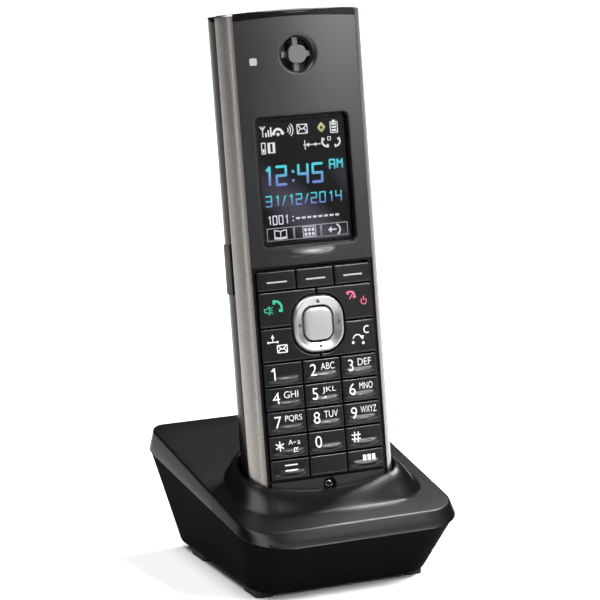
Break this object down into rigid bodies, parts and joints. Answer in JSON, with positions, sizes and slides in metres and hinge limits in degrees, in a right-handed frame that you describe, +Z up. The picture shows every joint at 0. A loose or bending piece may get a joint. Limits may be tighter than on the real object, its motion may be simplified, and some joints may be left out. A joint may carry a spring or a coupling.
{
  "type": "cordless phone with charging base",
  "caption": "Slim cordless telephone handset with keypad and colour display, leaning back in a wedge-shaped desk charger that it lifts out of.",
  "frame": {"origin": "on the table under the middle of the bounding box of the charger with its handset", "axes": "+Z up; -Y the way the handset faces; +X to the right of someone facing the keypad"},
  "size_m": [0.0726, 0.0808, 0.1708],
  "materials": {
    "case_black": "fine matt texture",
    "case_satin_black": "satin",
    "trim_bronze": "satin metallic paint, warm silver",
    "key_black": "satin",
    "key_silver": "satin silver paint",
    "grille_grey": "satin",
    "window_clear": "clear",
    "display_glass": "lit colour display",
    "pressed_steel": "plain",
    "board_green": "solder mask",
    "speaker_black": "plain",
    "socket_black": "smooth",
    "rubber_black": "matt",
    "contact_plated": "plated",
    "cell_sleeve": "printed sleeve"
  },
  "bodies": {
    "charger": {"charger_top_shell": "case_black", "charger_bottom_shell": "case_black", "charger_feet": "rubber_black", "charging_contacts": "contact_plated", "charger_circuit_board": "board_green", "dc_inlet_socket": "socket_black", "charger_screws": "pressed_steel"},
    "handset": {"back_shell": "case_black", "front_shell": "case_black", "upper_fascia": "case_satin_black", "chin_panel": "case_satin_black", "blank_key_plate": "case_satin_black", "microphone_bead": "case_satin_black", "side_trim_left": "trim_bronze", "side_trim_right": "trim_bronze", "earpiece_grille": "grille_grey", "indicator_lens": "grille_grey", "display_window": "window_clear", "display_panel": "display_glass", "display_frame": "pressed_steel", "battery_contact_plates": "pressed_steel", "battery_springs": "pressed_steel", "case_screws": "pressed_steel", "main_circuit_board": "board_green", "earpiece_speaker": "speaker_black", "ringer_speaker": "speaker_black", "microphone": "speaker_black", "headset_jack": "socket_black", "keypad_mat": "rubber_black", "handset_charge_contacts": "contact_plated", "battery_cells": "cell_sleeve"},
    "softkey_left": {"softkey_left": "key_black"},
    "softkey_middle": {"softkey_middle": "key_black"},
    "softkey_right": {"softkey_right": "key_black"},
    "talk_key": {"talk_key": "key_black"},
    "off_key": {"off_key": "key_black"},
    "transfer_key": {"transfer_key": "key_black"},
    "clear_key": {"clear_key": "key_black"},
    "line_key": {"line_key": "key_black"},
    "function_key": {"function_key": "key_black"},
    "centre_key": {"centre_key": "key_silver"},
    "key_star": {"key_star": "key_black"},
    "key_0": {"key_0": "key_black"},
    "key_hash": {"key_hash": "key_black"},
    "key_1": {"key_1": "key_black"},
    "key_2": {"key_2": "key_black"},
    "key_3": {"key_3": "key_black"},
    "key_4": {"key_4": "key_black"},
    "key_5": {"key_5": "key_black"},
    "key_6": {"key_6": "key_black"},
    "key_7": {"key_7": "key_black"},
    "key_8": {"key_8": "key_black"},
    "key_9": {"key_9": "key_black"},
    "navigator_web": {"navigator_web": "case_satin_black"},
    "navigator_ring": {"navigator_ring": "key_silver"},
    "battery_cover": {"battery_cover": "case_black"},
    "headset_jack_cover": {"headset_jack_cover": "rubber_black"}
  },
  "joints": [
    {"name": "handset_lift", "type": "slide", "parent": "charger", "child": "handset", "axis": [0, 0.2011, 0.9796], "range_m": [0, 0.06]},
    {"name": "softkey_left_press", "type": "slide", "parent": "handset", "child": "softkey_left", "axis": [0, 0.9796, -0.2011], "range_m": [0, 0.0004], "stiffness_N_per_m": 500, "deforming": ["keypad_mat"]},
    {"name": "softkey_middle_press", "type": "slide", "parent": "handset", "child": "softkey_middle", "axis": [0, 0.9796, -0.2011], "range_m": [0, 0.0004], "stiffness_N_per_m": 500, "deforming": ["keypad_mat"]},
    {"name": "softkey_right_press", "type": "slide", "parent": "handset", "child": "softkey_right", "axis": [0, 0.9796, -0.2011], "range_m": [0, 0.0004], "stiffness_N_per_m": 500, "deforming": ["keypad_mat"]},
    {"name": "talk_key_press", "type": "slide", "parent": "handset", "child": "talk_key", "axis": [0, 0.9796, -0.2011], "range_m": [0, 0.0004], "stiffness_N_per_m": 500, "deforming": ["keypad_mat"]},
    {"name": "off_key_press", "type": "slide", "parent": "handset", "child": "off_key", "axis": [0, 0.9796, -0.2011], "range_m": [0, 0.0004], "stiffness_N_per_m": 500, "deforming": ["keypad_mat"]},
    {"name": "transfer_key_press", "type": "slide", "parent": "handset", "child": "transfer_key", "axis": [0, 0.9796, -0.2011], "range_m": [0, 0.0004], "stiffness_N_per_m": 500, "deforming": ["keypad_mat"]},
    {"name": "clear_key_press", "type": "slide", "parent": "handset", "child": "clear_key", "axis": [0, 0.9796, -0.2011], "range_m": [0, 0.0004], "stiffness_N_per_m": 500, "deforming": ["keypad_mat"]},
    {"name": "line_key_press", "type": "slide", "parent": "handset", "child": "line_key", "axis": [0, 0.9796, -0.2011], "range_m": [0, 0.0004], "stiffness_N_per_m": 500, "deforming": ["keypad_mat"]},
    {"name": "function_key_press", "type": "slide", "parent": "handset", "child": "function_key", "axis": [0, 0.9796, -0.2011], "range_m": [0, 0.0004], "stiffness_N_per_m": 500, "deforming": ["keypad_mat"]},
    {"name": "centre_key_press", "type": "slide", "parent": "handset", "child": "centre_key", "axis": [0, 0.9796, -0.2011], "range_m": [0, 0.0004], "stiffness_N_per_m": 500, "deforming": ["keypad_mat"]},
    {"name": "key_star_press", "type": "slide", "parent": "handset", "child": "key_star", "axis": [0, 0.9796, -0.2011], "range_m": [0, 0.0004], "stiffness_N_per_m": 500, "deforming": ["keypad_mat"]},
    {"name": "key_0_press", "type": "slide", "parent": "handset", "child": "key_0", "axis": [0, 0.9796, -0.2011], "range_m": [0, 0.0004], "stiffness_N_per_m": 500, "deforming": ["keypad_mat"]},
    {"name": "key_hash_press", "type": "slide", "parent": "handset", "child": "key_hash", "axis": [0, 0.9796, -0.2011], "range_m": [0, 0.0004], "stiffness_N_per_m": 500, "deforming": ["keypad_mat"]},
    {"name": "key_1_press", "type": "slide", "parent": "handset", "child": "key_1", "axis": [0, 0.9796, -0.2011], "range_m": [0, 0.0004], "stiffness_N_per_m": 500, "deforming": ["keypad_mat"]},
    {"name": "key_2_press", "type": "slide", "parent": "handset", "child": "key_2", "axis": [0, 0.9796, -0.2011], "range_m": [0, 0.0004], "stiffness_N_per_m": 500, "deforming": ["keypad_mat"]},
    {"name": "key_3_press", "type": "slide", "parent": "handset", "child": "key_3", "axis": [0, 0.9796, -0.2011], "range_m": [0, 0.0004], "stiffness_N_per_m": 500, "deforming": ["keypad_mat"]},
    {"name": "key_4_press", "type": "slide", "parent": "handset", "child": "key_4", "axis": [0, 0.9796, -0.2011], "range_m": [0, 0.0004], "stiffness_N_per_m": 500, "deforming": ["keypad_mat"]},
    {"name": "key_5_press", "type": "slide", "parent": "handset", "child": "key_5", "axis": [0, 0.9796, -0.2011], "range_m": [0, 0.0004], "stiffness_N_per_m": 500, "deforming": ["keypad_mat"]},
    {"name": "key_6_press", "type": "slide", "parent": "handset", "child": "key_6", "axis": [0, 0.9796, -0.2011], "range_m": [0, 0.0004], "stiffness_N_per_m": 500, "deforming": ["keypad_mat"]},
    {"name": "key_7_press", "type": "slide", "parent": "handset", "child": "key_7", "axis": [0, 0.9796, -0.2011], "range_m": [0, 0.0004], "stiffness_N_per_m": 500, "deforming": ["keypad_mat"]},
    {"name": "key_8_press", "type": "slide", "parent": "handset", "child": "key_8", "axis": [0, 0.9796, -0.2011], "range_m": [0, 0.0004], "stiffness_N_per_m": 500, "deforming": ["keypad_mat"]},
    {"name": "key_9_press", "type": "slide", "parent": "handset", "child": "key_9", "axis": [0, 0.9796, -0.2011], "range_m": [0, 0.0004], "stiffness_N_per_m": 500, "deforming": ["keypad_mat"]},
    {"name": "navigator_up_down", "type": "hinge", "parent": "handset", "child": "navigator_web", "pos_m": [0, -0.00313, 0.07719], "axis": [1, 0, 0], "range_deg": [-2.5, 2.5], "stiffness_Nm_per_rad": 0.05, "deforming": ["keypad_mat"]},
    {"name": "navigator_left_right", "type": "hinge", "parent": "navigator_web", "child": "navigator_ring", "pos_m": [0, -0.00377, 0.07732], "axis": [0, 0.2011, 0.9796], "range_deg": [-2.5, 2.5], "stiffness_Nm_per_rad": 0.05, "deforming": ["keypad_mat"]},
    {"name": "battery_cover_open", "type": "hinge", "parent": "handset", "child": "battery_cover", "pos_m": [0, 0.00972, 0.04056], "axis": [-1, 0, 0], "range_deg": [0, 60]},
    {"name": "jack_cover_open", "type": "hinge", "parent": "handset", "child": "headset_jack_cover", "pos_m": [-0.02212, 0.01152, 0.09286], "axis": [0, -0.2011, -0.9796], "range_deg": [0, 100]}
  ]
}
